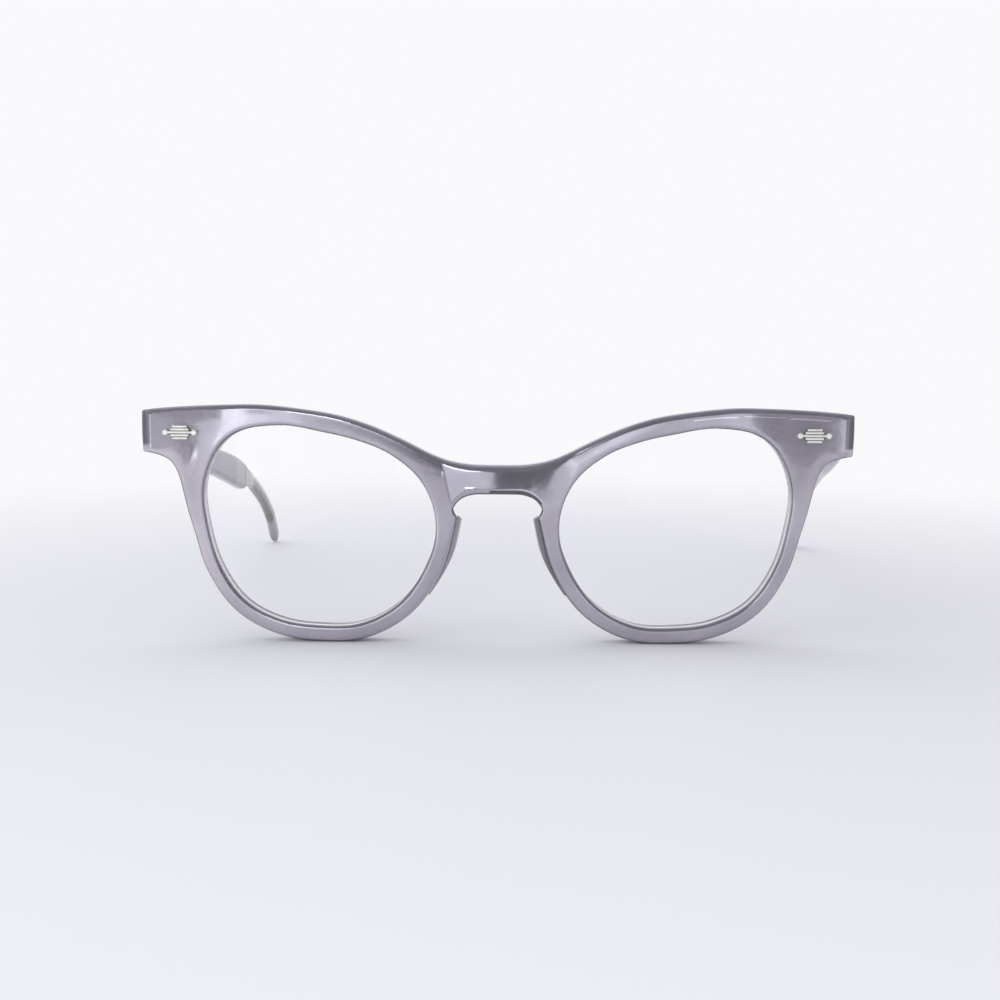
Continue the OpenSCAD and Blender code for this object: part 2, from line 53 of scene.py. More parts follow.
OPEN_W, OPEN_H = LENS_W - 2 * GROOVE, LENS_H - 2 * GROOVE
LENS_X = (LENS_GAP + LENS_W) / 2
LENS_Z = RIM_BOTTOM + OPEN_H / 2
BROW_Z = LENS_Z + OPEN_H / 2 + BROW_H
BRIDGE_Z = SADDLE_Z + BRIDGE_H
END_X = FRONT_W / 2
END_TOP = BROW_Z - END_DROP
END_LOW = END_TOP - END_H
END_MID = END_LOW + END_H / 2


def stretch(a, b, c, d, f):
    """A curve's value between b and c, at f from 0 to 1."""
    return 0.5 * (
        2 * b + (c - a) * f + (2 * a - 5 * b + 4 * c - d) * f * f
        + (3 * b - a - 3 * c + d) * f ** 3
    )


def smooth(knots, steps):
    """Points on a curve through the knots, without the last one."""
    points, last = [], len(knots) - 1
    for i in range(last):
        four = [knots[max(i - 1, 0)], knots[i], knots[i + 1], knots[min(i + 2, last)]]
        for k in range(steps):
            points.append([stretch(*values, k / steps) for values in zip(*four)])
    return points


def mix(a, b, f):
    return a + (b - a) * f


def ease(f):
    f = min(max(f, 0), 1)
    return f * f * (3 - 2 * f)


def unit(x, z):
    size = math.hypot(x, z) or 1
    return x / size, z / size


def raw_lens(angle):
    turn = angle / 22.5
    i = math.floor(turn)
    four = [LENS_SHAPE[(i + k) % len(LENS_SHAPE)] for k in (-1, 0, 1, 2)]
    radius = stretch(*four, turn - i)
    return radius * math.cos(math.radians(angle)), radius * math.sin(math.radians(angle))


raw = [raw_lens(a) for a in range(0, 360, 2)]
raw_low = [min(p[k] for p in raw) for k in (0, 1)]
raw_high = [max(p[k] for p in raw) for k in (0, 1)]


def opening(angle):
    """A point on the rim's inner edge, seen from the front."""
    x, z = raw_lens(angle)
    return (
        LENS_X + (x - (raw_low[0] + raw_high[0]) / 2) * OPEN_W / (raw_high[0] - raw_low[0]),
        LENS_Z + (z - (raw_low[1] + raw_high[1]) / 2) * OPEN_H / (raw_high[1] - raw_low[1]),
    )


def outward(angle):
    a, b = opening(angle - 1), opening(angle + 1)
    x, z = unit(b[0] - a[0], b[1] - a[1])
    return z, -x


def rim(angle):
    """A point on the rim's outer edge, where the rim is a plain band."""
    if angle < 270:
        width = mix(RIM_NOSE, RIM_BOTTOM, ease((angle - 190) / 70))
    else:
        width = mix(RIM_BOTTOM, RIM_SIDE, ease((angle - 275) / 50))
    p, n = opening(angle), outward(angle)
    return [p[0] + n[0] * width, p[1] + n[1] * width]


# Each station of the outline: [angle round the lens, x, z, rounding of the edge]
under_end = [[a - 360, *rim(a), EDGE] for a in (348, 356)] + [
    [6, END_X - 8.6, END_LOW - 11.6, EDGE],
    [14, END_X - 7.6, END_LOW - 7.3, EDGE],
    [21, END_X - 6.8, END_LOW - 4.2, EDGE],
    [27, END_X - 5.5, END_LOW - 1.8, EDGE],
    [32, END_X - 3.4, END_LOW - 0.6, EDGE],
    [36, END_X - 1, END_LOW, EDGE],
]
bevel_x = END_X - END_BEVEL
end_side = [
    [36.3, END_X - 0.5, END_LOW + 0.03, EDGE, (bevel_x - 0.06, END_LOW + 0.78)],
    [36.9, END_X - 0.2, END_LOW + 0.17, EDGE, (bevel_x - 0.02, END_LOW + 0.8)],
    [37.5, END_X - 0.08, END_LOW + 0.45, EDGE, (bevel_x, END_LOW + 0.84)],
    [39, END_X - 0.03, END_MID - 2, EDGE, (bevel_x, END_MID - 2)],
    [41, END_X, END_MID, EDGE, (bevel_x, END_MID)],
    [43, END_X - 0.03, END_MID + 2, EDGE, (bevel_x, END_MID + 2)],
    [44.5, END_X - 0.08, END_TOP - 0.45, EDGE, (bevel_x, END_TOP - 0.96)],
    [45, END_X - 0.2, END_TOP - 0.15, EDGE, (bevel_x - 0.02, END_TOP - 0.92)],
    [45.5, END_X - 0.5, END_TOP - 0.02, EDGE, (bevel_x - 0.06, END_TOP - 0.9)],
]
brow_line = [
    [48, END_X - 2.4, END_TOP + 0.25, EDGE],
    [52, END_X - 8, BROW_Z - 0.4, EDGE],
    [58, END_X - 16, BROW_Z - 0.05, EDGE],
    [66, END_X - 23, BROW_Z, EDGE],
    [78, LENS_X + 4, BROW_Z - 0.7, EDGE],
    [93, LENS_X - 3.5, BROW_Z - 1.9, EDGE],
    [108, LENS_X - 10, BROW_Z - 3.9, EDGE],
    [122, LENS_X - 16, mix(BROW_Z, BRIDGE_Z, 0.57), EDGE],
    [134, LENS_X - 21.5, mix(BROW_Z, BRIDGE_Z, 0.81), EDGE],
    [142, KEYHOLE_W / 2 + 0.8, BRIDGE_Z + 0.8, EDGE],
    [147, KEYHOLE_W / 2 - 3, BRIDGE_Z + 0.15, EDGE],
    [150, 2, BRIDGE_Z, EDGE],
    [150.9, 0, BRIDGE_Z, EDGE],
]
middle = [
    [151, 0, BRIDGE_Z, EDGE],
    [154, 0, SADDLE_Z + BRIDGE_H / 2, 0],
    [157, 0, SADDLE_Z, EDGE],
]
keyhole = [
    [157.5, 0, SADDLE_Z, EDGE],
    [159, 2, SADDLE_Z, EDGE],
    [162, KEYHOLE_W / 2 - 3.7, SADDLE_Z - 0.1, EDGE],
    [166, KEYHOLE_W / 2 - 1.4, SADDLE_Z - 0.9, EDGE * 0.8],
    [171, KEYHOLE_W / 2, SADDLE_Z - 2.5, EDGE * 0.7],
    [174, KEYHOLE_W / 2 - 0.1, SADDLE_Z - 3.4, EDGE * 0.6],
    [177, KEYHOLE_W / 2 - 0.5, SADDLE_Z - 4.3, EDGE * 0.5],
    [181, KEYHOLE_W / 2 - 0.25, SADDLE_Z - 5.6, EDGE * 0.6],
    [187, *rim(187), EDGE],
    [192, *rim(192), EDGE],
]
stations = (
    smooth(under_end, 6) + end_side + smooth(brow_line, 6) + middle
    + smooth(keyhole, 6)[1:] + [[a, *rim(a), EDGE] for a in range(192, 348, 2)]
)


def edge_direction(i):
    """Which way is out of the sheet at a station, seen from the front."""
    x, z = stations[i][1:3]
    before, after = stations[i - 1], stations[(i + 1) % len(stations)]
    ax, az = (-after[1], after[2]) if before[1] < 1e-6 and x < 1e-6 else before[1:3]
    bx, bz = (-before[1], before[2]) if after[1] < 1e-6 and x < 1e-6 else after[1:3]
    tx, tz = unit(bx - ax, bz - az)
    return tz, -tx


# A rounded edge and the end pieces' chamfer, as shares of their width and depth
quarter = [(1 - math.sin(t), 1 - math.cos(t)) for t in [math.radians(15 * k) for k in range(7)]]
chamfer = [(1, 0), (0.94, 0.012), (0.88, 0.04), (0.82, 0.085), (0.1, 0.75), (0.04, 0.82), (0, 1)]
# The groove: how deep it is at each distance from the front's face
groove_line = [(0, 1.45), (GROOVE, 1.65), (GROOVE, 2.75), (0, 2.95)]


def section(i):
    """The closed line round the sheet at a station: opening, groove, back, edge, front face."""
    angle, x, z, rounding = stations[i][:4]
    px, pz = opening(angle)
    nx, nz = outward(angle)
    ox, oz = edge_direction(i)
    flat = rounding == 0
    # a quarter rounder over the bridge
    rounding *= 1 + 0.25 * ease((12 - abs(x)) / 7)
    line = [
        (px + nx * INNER_EDGE * a, INNER_EDGE * b, pz + nz * INNER_EDGE * a) for a, b in quarter
    ]
    for out, y in groove_line:
        line.append((px + nx * out, y, pz + nz * out))
    for a, b in reversed(quarter[::2]):
        line.append((px + nx * BACK_EDGE * a, FRONT_T - BACK_EDGE * b, pz + nz * BACK_EDGE * a))
    back = 0 if flat else BACK_EDGE
    for a, b in quarter[::2]:
        line.append((x - ox * back * a, FRONT_T - back * b, z - oz * back * a))
    if len(stations[i]) > 4:
        tx, tz = stations[i][4][0] - x, stations[i][4][1] - z
    else:
        tx, tz = -ox * rounding, -oz * rounding
    profile = chamfer if len(stations[i]) > 4 else quarter
    for a, b in reversed(profile):
        line.append((x + tx * a, rounding * b, z + tz * a))
    start, end = line[-1], line[0]
    length = math.dist(start, end)
    lean = abs((end[0] - start[0]) * ox + (end[2] - start[2]) * oz) / length
    near = [f * min(CROWN_W / length / max(lean, 0.4), 0.5) for f in STRIPS]
    far = [1 - f * min(CROWN_W / length, 0.5) for f in reversed(STRIPS)]
    inner = [mix(near[-1], far[0], f) for f in (0.25, 0.5, 0.75)]
    for t in near + inner + far:
        line.append(tuple(mix(p, q, t) for p, q in zip(start, end)))
    return line


def apart(point, line, i):
    """How far a point of the front face is from a closed line, near the line's point i."""
    best = 1e9
    for k in range(i - 16, i + 16):
        a, b = line[k % len(line)], line[(k + 1) % len(line)]
        if max(a[0], b[0]) < 0.01:
            continue
        dx, dz = b[0] - a[0], b[2] - a[2]
        f = ((point[0] - a[0]) * dx + (point[2] - a[2]) * dz) / (dx * dx + dz * dz or 1)
        f = min(max(f, 0), 1)
        best = min(best, math.hypot(point[0] - a[0] - f * dx, point[2] - a[2] - f * dz))
    return best


def crowned(rows):
    """The same rows, with the face falling away a little towards its edges."""
    # the lines where the roundings of the outer edge and of the opening meet the face
    outer, inner = [row[-2 * len(STRIPS) - 4] for row in rows], [row[0] for row in rows]
    result = []
    for i, row in enumerate(rows):
        new = []
        for x, y, z in row:
            fall = 0
            if y < 2:
                for line, depth in ((outer, CROWN_OUT), (inner, CROWN_IN)):
                    fall += depth * max(0, 1 - apart((x, y, z), line, i) / CROWN_W) ** 2
            # less of it near the end pieces' sides, and hardly any round the keyhole
            fall *= max(1 - y / 2, 0) * ease((END_X - 2 - abs(x)) / 5)
            fall *= 1 - ease((SADDLE_Z + 2.6 - z) / 1.2) * ease((KEYHOLE_W / 2 + 2.5 - abs(x)) / 3)
            new.append((x, y + fall, z))
        result.append(new)
    return result


def placed(x, y, z):
    """From sizes measured at the front's face and the floor to the part's own frame, in metres."""
    return x * MM, (y - FRONT_T / 2) * MM, (z - SADDLE_Z) * MM


def bent_grid(name, rows, close_rows=False, close_columns=False):
    """A flat grid bent so that each of its rows runs through one list of points."""
    bpy.ops.object.select_all(action="DESELECT")
    rows = [list(row) + ([row[0]] if close_columns else []) for row in rows]
    rows += [rows[0]] if close_rows else []
    bpy.ops.mesh.primitive_grid_add(
        x_subdivisions=len(rows[0]) - 1, y_subdivisions=len(rows) - 1, size=0.1
    )
    piece = bpy.context.object
    piece.name = name
    points = [c for row in rows for p in row for c in placed(*p)]
    piece.data.vertices.foreach_set("co", points)
    piece.data.update()
    bpy.ops.object.mode_set(mode="EDIT")
    bpy.ops.mesh.select_all(action="SELECT")
    bpy.ops.mesh.remove_doubles(threshold=0.000001)
    bpy.ops.object.mode_set(mode="OBJECT")
    return piece


def take(piece):
    """Makes one piece the only one in hand."""
    bpy.ops.object.select_all(action="DESELECT")
    bpy.context.view_layer.objects.active = piece
    piece.select_set(True)


def edit(piece, *steps):
    """Runs edit mode steps on a piece, with whatever faces it has selected."""
    take(piece)
    bpy.context.tool_settings.mesh_select_mode = (False, False, True)
    bpy.ops.object.mode_set(mode="EDIT")
    for step in steps:
        step()
    bpy.ops.object.mode_set(mode="OBJECT")


def choose(piece, test):
    """Selects the faces that pass a test, and nothing else."""
    mesh = piece.data
    mesh.vertices.foreach_set("select", [False] * len(mesh.vertices))
    mesh.edges.foreach_set("select", [False] * len(mesh.edges))
    mesh.polygons.foreach_set("select", [test(face) for face in mesh.polygons])


def face_outwards(piece):
    edit(
        piece,
        lambda: bpy.ops.mesh.select_all(action="SELECT"),
        lambda: bpy.ops.mesh.normals_make_consistent(inside=False),
    )


def smooth_below(piece, degrees):
    take(piece)
    bpy.ops.object.shade_smooth_by_angle(angle=math.radians(degrees))


def apply_modifier(piece, kind, **settings):
    """Adds one modifier to a piece and applies it."""
    take(piece)
    modifier = piece.modifiers.new(kind.lower(), kind)
    for name, value in settings.items():
        setattr(modifier, name, value)
    bpy.ops.object.modifier_apply(modifier=modifier.name)


front = bent_grid(
    "front_sheet", crowned([section(i) for i in range(len(stations))]),
    close_rows=True, close_columns=True,
)
choose(front, lambda face: all(abs(front.data.vertices[v].co.x) < 1e-7 for v in face.vertices))
edit(front, lambda: bpy.ops.mesh.delete(type="FACE"))
apply_modifier(front, "MIRROR", use_mirror_merge=True, merge_threshold=0.000002)
face_outwards(front)
smooth_below(front, 38)


def bearing_of(x, z):
    """The direction of a point from the middle of its lens, in whole degrees."""
    return round(math.degrees(math.atan2(z - LENS_Z, x - LENS_X))) % 360


# How far the opening's wall reaches from the lens's middle, by bearing
wall_reach = {}
for a in range(360):
    px, pz = opening(a)
    for k in (-1, 0, 1):
        reach = math.hypot(px - LENS_X, pz - LENS_Z) + GROOVE + 0.1
        wall_reach[(bearing_of(px, pz) + k) % 360] = reach


def under_brow(x, z):
    """How far a point of the face is below the brow's rounded edge."""
    for i, station in enumerate(stations):
        if 45 < station[0] < 80 and stations[i + 1][1] < x <= station[1]:
            f = (station[1] - x) / (station[1] - stations[i + 1][1])
            return mix(station[2], stations[i + 1][2], f) - EDGE - z
    return -1


# The sheet's materials in order: polished, sawn, painted shade on lips and hidden walls, a painted
# highlight line, and a duller painted shade on lips
POLISHED, SAWN, SHADED, PAINTED_HIGHLIGHT, DULL_SHADED = range(5)
# The painted highlight line under the brow: its start and end across, its depth under the brow's
# edge, its width
HIGHLIGHT_FROM, HIGHLIGHT_TO = 37, 66
HIGHLIGHT_UNDER, HIGHLIGHT_W = (STRIPS[2] + STRIPS[3]) / 2 * CROWN_W, 0.18
# Where the lens's front and back surfaces meet the opening's wall, from the middle of the sheet
LENS_FRONT_Y, LENS_BACK_Y = -0.8, 0.6
PAD_TOP_Z = SADDLE_Z - 5


def finish_of(face):
    """Which of the sheet's five materials a face has, two of them painted shade and one a painted
    highlight.
    """
    away, z = abs(face.center.x) / MM, face.center.z / MM + SADDLE_Z
    turn = face.normal
    # a thin line under the right brow's edge gets a lighter tone: a painted highlight
    if turn.y < -0.9 and HIGHLIGHT_FROM < face.center.x / MM < HIGHLIGHT_TO:
        if abs(under_brow(away, z) - HIGHLIGHT_UNDER) < HIGHLIGHT_W / 2:
            return PAINTED_HIGHLIGHT
    # lips are the roundings between the face and a wall, darkened as painted shade; the bridge's
    # begins nearer the face
    under_bridge = face.center.x / MM > -1.5 and away < KEYHOLE_W / 2 and turn.z < -0.2
    shaded = SHADED if (-0.96 if under_bridge else -0.72) < turn.y < -0.25 else POLISHED
    # inside the opening: painted shade on the walls behind the lens and on the front lip
    if math.hypot(away - LENS_X, z - LENS_Z) < wall_reach[bearing_of(away, z)]:
        if face.center.y / MM > LENS_BACK_Y and abs(turn.y) < 0.8:
            return SHADED
        if abs(turn.y) < 0.25:
            return DULL_SHADED if face.center.y / MM > LENS_FRONT_Y else SAWN
        return DULL_SHADED if shaded and turn.z > -0.5 else shaded
    lit_nose_edge = face.center.x < 0 and turn.x > 0.25 and z < PAD_TOP_Z
    return shaded if turn.z < 0.3 and not lit_nose_edge else POLISHED


def new_finish(name):
    """A new material, its tree of nodes and links, and its shader."""
    material = bpy.data.materials.new(name)
    material.use_nodes = True
    nodes, links = material.node_tree.nodes, material.node_tree.links
    return material, (nodes, links), nodes["Principled BSDF"]


def fill(node, values):
    """Sets sockets of a node by their names."""
    for name, value in values.items():
        node.inputs[name].default_value = value


def reckon(tree, operation, *values):
    """The result of one sum on numbers and other nodes' results."""
    nodes, links = tree
    node = nodes.new("ShaderNodeMath")
    node.operation = operation
    for socket, value in zip(node.inputs, values):
        if isinstance(value, (int, float)):
            socket.default_value = value
        else:
            links.new(value, socket)
    return node.outputs["Value"]


def graded(tree, value, start, end, first=0, last=1, kind="SMOOTHSTEP"):
    """A value's run from start to end, turned into one from first to last."""
    nodes, links = tree
    node = nodes.new("ShaderNodeMapRange")
    node.interpolation_type = kind
    fill(node, {"From Min": start, "From Max": end, "To Min": first, "To Max": last})
    links.new(value, node.inputs["Value"])
    return node.outputs["Result"]


def two_tones(tree, pattern, dark, bright, low, high):
    """A pattern coloured from a dark tone, up to low, to a bright one, from high."""
    nodes, links = tree
    tint = nodes.new("ShaderNodeValToRGB")
    for element, position, tone in zip(tint.color_ramp.elements, (low, high), (dark, bright)):
        element.position, element.color = position, (*tone, 1)
    links.new(pattern, tint.inputs["Fac"])
    return tint.outputs["Color"]


def noise(tree, vector, scale, detail, roughness=0.5):
    """Random mottling, finer at a larger scale."""
    nodes, links = tree
    node = nodes.new("ShaderNodeTexNoise")
    fill(node, {"Scale": scale, "Detail": detail, "Roughness": roughness})
    links.new(vector, node.inputs["Vector"])
    return node.outputs["Fac"]


LILAC_DARK, LILAC_LIGHT = (0.4, 0.372, 0.425), (0.49, 0.457, 0.515)
EYE_CURVE_R, BRIDGE_CURVE_R, BRIDGE_LEAN = 0.2, 0.09, 0.12
# Each swelling: [across, up, lean in degrees, half width, half height, height]
SWELLINGS = [
    [-59.35, 6.2, 15.4, 1.4, 3.8, 0.07],
    [-5.3, 1.15, 0, 2.1, 0.5, 0.05],
    [-10.6, 4.1, 0, 0.3, 0.8, 0.05],
]


def heat_set_normal(tree, place):
    """The curve set round each eye and over the bridge, too slight for the outline."""
    nodes, links = tree
    half_apart = LENS_X * MM
    split = nodes.new("ShaderNodeSeparateXYZ")
    links.new(place.outputs["Object"], split.inputs[0])
    x, z = split.outputs["X"], split.outputs["Z"]
    left = reckon(tree, "MINIMUM", reckon(tree, "ADD", x, half_apart), 0)
    right = reckon(tree, "MAXIMUM", reckon(tree, "SUBTRACT", x, half_apart), 0)
    round_eyes = reckon(tree, "MULTIPLY", reckon(tree, "ADD", left, right), 1 / EYE_CURVE_R)
    # the bridge's part runs from a slanted left edge to a softer right one, and leans above
    slanted = reckon(tree, "MULTIPLY_ADD", z, 0.2, x)
    within = reckon(
        tree, "MULTIPLY", graded(tree, slanted, -9.9 * MM, -8.9 * MM),
        graded(tree, x, 16.5 * MM, 8.5 * MM),
    )
    over = reckon(tree, "MULTIPLY", reckon(tree, "MULTIPLY", x, within), 1 / BRIDGE_CURVE_R)
    above = graded(tree, z, -4 * MM, -0.5 * MM)
    lean = reckon(tree, "MULTIPLY", reckon(tree, "MULTIPLY", within, above), BRIDGE_LEAN)
    turn = nodes.new("ShaderNodeCombineXYZ")
    links.new(reckon(tree, "ADD", round_eyes, over), turn.inputs["X"])
    links.new(lean, turn.inputs["Z"])
    turned = nodes.new("ShaderNodeVectorMath")
    turned.operation = "ADD"
    links.new(place.outputs["Normal"], turned.inputs[0])
    links.new(turn.outputs["Vector"], turned.inputs[1])
    whole = nodes.new("ShaderNodeVectorMath")
    whole.operation = "NORMALIZE"
    links.new(turned.outputs["Vector"], whole.inputs[0])
    in_room = nodes.new("ShaderNodeVectorTransform")
    in_room.vector_type = "NORMAL"
    in_room.convert_from, in_room.convert_to = "OBJECT", "WORLD"
    links.new(whole.outputs["Vector"], in_room.inputs["Vector"])
    return in_room.outputs["Vector"]


def swollen_normal(tree, place, normal):
    """Soft swellings where the sheet was dressed by hand: left shoulder, bridge, a small nick."""
    nodes, links = tree
    for across, up, lean, half_width, half_height, height in SWELLINGS:
        local = nodes.new("ShaderNodeMapping")
        local.vector_type = "TEXTURE"
        fill(local, {
            "Location": (across * MM, 0, up * MM), "Rotation": (0, math.radians(lean), 0),
            "Scale": (half_width * MM, 1, half_height * MM),
        })
        links.new(place.outputs["Object"], local.inputs["Vector"])
        reach = nodes.new("ShaderNodeVectorMath")
        reach.operation = "LENGTH"
        links.new(local.outputs["Vector"], reach.inputs[0])
        bend = nodes.new("ShaderNodeBump")
        fill(bend, {"Strength": 1, "Distance": 1})
        dome = graded(tree, reach.outputs["Value"], 0, 1, height * MM, 0)
        links.new(dome, bend.inputs["Height"])
        links.new(normal, bend.inputs["Normal"])
        normal = bend.outputs["Normal"]
    return normal


def acetate_material(name, metallic, coat, through=0, depth=1, specular=0.5, ior=1.49, bent=False):
    """Polished pearl acetate in smoky lilac: soft clouds, a clear skin, fine rubs and ripples."""
    material, tree, shader = new_finish(name)
    nodes, links = tree
    place = nodes.new("ShaderNodeTexCoord")
    here = place.outputs["Object"]
    # depth scales both tones: the lips and pads take it for painted shade, the arris line for a
    # painted highlight, the temple for its own darker tone
    dark, light = ([depth * part for part in tone] for tone in (LILAC_DARK, LILAC_LIGHT))
    clouds = two_tones(tree, noise(tree, here, 90, 3), dark, light, 0.35, 0.68)
    links.new(clouds, shader.inputs["Base Color"])
    rubs = noise(tree, here, 900, 4, 0.6)
    links.new(graded(tree, rubs, 0.3, 0.75, 0.07, 0.17, "LINEAR"), shader.inputs["Roughness"])
    relief = nodes.new("ShaderNodeBump")
    fill(relief, {"Strength": 0.1, "Distance": 0.0002})
    links.new(noise(tree, here, 260, 2), relief.inputs["Height"])
    if bent:
        normal = swollen_normal(tree, place, heat_set_normal(tree, place))
        links.new(normal, relief.inputs["Normal"])
    for socket in ("Normal", "Coat Normal"):
        links.new(relief.outputs["Normal"], shader.inputs[socket])
    fill(shader, {
        "Metallic": metallic, "IOR": ior, "Transmission Weight": through,
        "Specular IOR Level": specular, "Coat Weight": coat, "Coat Roughness": 0.03,
        "Coat IOR": 1.5, "Subsurface Weight": 0.8, "Subsurface Radius": (1.0, 0.97, 1.08),
        "Subsurface Scale": 0.003,
    })
    return material


for finish in (
    acetate_material("smoke_lilac_acetate", 0.7, 1, bent=True),
    acetate_material("sawn_acetate", 0.1, 0),
    # darker tones on the lips and the walls behind the lens: painted shade
    acetate_material("shaded_lip_acetate", 0.1, 0, depth=0.28, specular=0.2),
    # a lighter tone for the painted highlight line
    acetate_material("highlight_arris_acetate", 0.7, 1, depth=1.7, bent=True),
    # a duller, darker tone on the lips: painted shade
    acetate_material("dull_shaded_lip_acetate", 0.1, 0, depth=0.5, specular=0.3),
):
    front.data.materials.append(finish)
front.data.polygons.foreach_set("material_index", [finish_of(f) for f in front.data.polygons])
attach(front, "front")
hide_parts("front_frame")


# The lenses: plain clear glass with a shallow curve, each held by a thin bevel that runs in
# the rim's groove.
LENS_T, LENS_CURVE_R, SEAT = 1.8, 160, 0.04
LENS_EDGE_Y, LENS_EDGE_T = FRONT_T / 2, 0.94


def lens_rows(side):
    """Circles of points from the middle of the front surface, round the edge, to the back's."""
    sag = LENS_CURVE_R - math.sqrt(LENS_CURVE_R ** 2 - (OPEN_W / 2) ** 2)
    front_y = LENS_EDGE_Y - LENS_T / 2 - sag
    bevel = LENS_EDGE_Y - LENS_EDGE_T / 2, LENS_EDGE_Y + LENS_EDGE_T / 2
    # each circle: its share of the way to the edge, how far past it, which surface it is on
    circles = [(f / 16, 0, 0) for f in range(17)]
    circles += [(1, 0, 1), (1, GROOVE - SEAT, 1), (1, GROOVE - SEAT, 2), (1, 0, 2)]
    circles += [(f / 16, 0, 3) for f in range(16, -1, -1)]
    rows = []
    for f, grow, level in circles:
        row = []
        for a in range(0, 360, 2):
            p, n = opening(a), outward(a)
            x = mix(LENS_X, p[0] + n[0] * (grow - SEAT), f)
            z = mix(LENS_Z, p[1] + n[1] * (grow - SEAT), f)
            r = math.hypot(x - LENS_X, z - LENS_Z)
            outer = front_y + LENS_CURVE_R - math.sqrt(LENS_CURVE_R ** 2 - r * r)
            inner = front_y + LENS_CURVE_R - math.sqrt((LENS_CURVE_R - LENS_T) ** 2 - r * r)
            y = (outer, *bevel, inner)[level]
            row.append((side * x, y, z))
        rows.append(row)
    return rows


glass, _, shader = new_finish("clear_lens_glass")
fill(shader, {
    "Base Color": (0.995, 0.997, 1, 1), "Roughness": 0, "IOR": 1.2,
    "Transmission Weight": 1, "Specular IOR Level": 0.2,
})
for name, side in SIDES.items():
    lens = bent_grid("lens_glass_" + name, lens_rows(side), close_columns=True)
    face_outwards(lens)
    smooth_below(lens, 30)
    lens.data.materials.append(glass)
    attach(lens, "front")
    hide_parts("lens_" + name)


# The nose pads: slivers of the same acetate, glued to the nasal wall and the back of each rim
# and filed to a crest that tapers away below.
PAD_D, PAD_NOSE, PAD_LOW = 3.2, 1.1, 9
# darker tones on the pads: painted shade, deeper on the right pad
PAD_SHADE = {"left": 0.8, "right": 0.5}


def pad_rows(side):
    """Outlines across the pad, one at each station it covers, larger towards its top."""
    chosen = [
        i for i, station in enumerate(stations)
        if station[0] > 174 and station[1] < LENS_X and PAD_LOW < station[2] < SADDLE_Z - 4.6
    ]
    top = stations[chosen[0]][2]
    rows = []
    for i in chosen:
        x, z = stations[i][1:3]
        ox, oz = edge_direction(i)
        f = ease((z - PAD_LOW + 1) / (top - PAD_LOW - 3))
        u, d = mix(0.3, PAD_NOSE, f), mix(1, PAD_D, f)
        outline = [
            (-2.4, 0), (-2.2, 0.7 * d), (-1.2, d), (-0.3, 0.85 * d), (0.7 * u, 0.2 * d),
            (u, -0.35 * FRONT_T), (0.8 * u, -0.6 * FRONT_T), (0, -0.68 * FRONT_T), (0, 0),
        ]
        rows.append([
            (side * (x + ox * (a + SEAT)), FRONT_T + b + SEAT, z + oz * (a + SEAT))
            for a, b in outline
        ])
    return rows


def close_ends(piece):
    edit(
        piece,
        lambda: bpy.ops.mesh.select_all(action="SELECT"),
        lambda: bpy.ops.mesh.fill_holes(sides=0),
    )


for name, side in SIDES.items():
    pad = bent_grid("glued_pad_" + name, pad_rows(side), close_columns=True)
    close_ends(pad)
    face_outwards(pad)
    apply_modifier(
        pad, "BEVEL", width=0.25 * MM, segments=3,
        limit_method="ANGLE", angle_limit=math.radians(25),
    )
    smooth_below(pad, 40)
    filed = acetate_material("filed_shaded_acetate_" + name, 0.2, 0.2, depth=PAD_SHADE[name])
    pad.data.materials.append(filed)
    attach(pad, "front")
    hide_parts("nose_pad_" + name)


# The plaques: silver-plated castings on the end pieces, five half-round ribs whose middle one
# runs out to a round boss at each end. Two pins through the front hold each of them.
PLAQUE_IN, PLAQUE_L, PLAQUE_DROP = 7.6, 6.6, 0.15
RIB_W, RIB_STEP, BOSS_R, BOSS_T = 0.44, 0.56, 0.55, 0.8
PLAQUE_SHIFT = {"left": 0, "right": 0.4}
PLAQUE_LIFT = {"left": 0, "right": 0.24}


def silver_material(name, dark, bright):
    """Worn silver plate with fine rubs, between two tones."""
    material, tree, shader = new_finish(name)
    nodes, links = tree
    shader.inputs["Metallic"].default_value = 0.3
    place = nodes.new("ShaderNodeTexCoord")
    rubs = noise(tree, place.outputs["Object"], 1500, 4)
    links.new(two_tones(tree, rubs, dark, bright, 0.3, 0.62), shader.inputs["Base Color"])
    links.new(graded(tree, rubs, 0, 1, 0.3, 0.55, "LINEAR"), shader.inputs["Roughness"])
    return material


def rib(length, x, y, z, width):
    """One rounded bar, its ends drawn in to blunt domes."""
    bpy.ops.object.select_all(action="DESELECT")
    bpy.ops.mesh.primitive_cylinder_add(
        vertices=20, radius=width / 2 * MM, depth=length * MM, location=placed(x, y, z),
        rotation=(0, math.pi / 2, 0),
    )
    bar = bpy.context.object
    bpy.ops.object.transform_apply(location=True, rotation=True, scale=True)
    apply_modifier(bar, "BEVEL", width=0.16 * MM, segments=3, limit_method="ANGLE")
    return bar


def boss(x, y, z):
    """One round boss: a low cylinder with a domed top."""
    bpy.ops.object.select_all(action="DESELECT")
    bpy.ops.mesh.primitive_cylinder_add(
        vertices=28, radius=BOSS_R * MM, depth=BOSS_T * MM,
        location=placed(x, y - BOSS_T / 2, z),
        rotation=(math.pi / 2, 0, 0),
    )
    knob = bpy.context.object
    bpy.ops.object.transform_apply(location=True, rotation=True, scale=True)
    apply_modifier(knob, "BEVEL", width=0.28 * MM, segments=5, limit_method="ANGLE")
    return knob


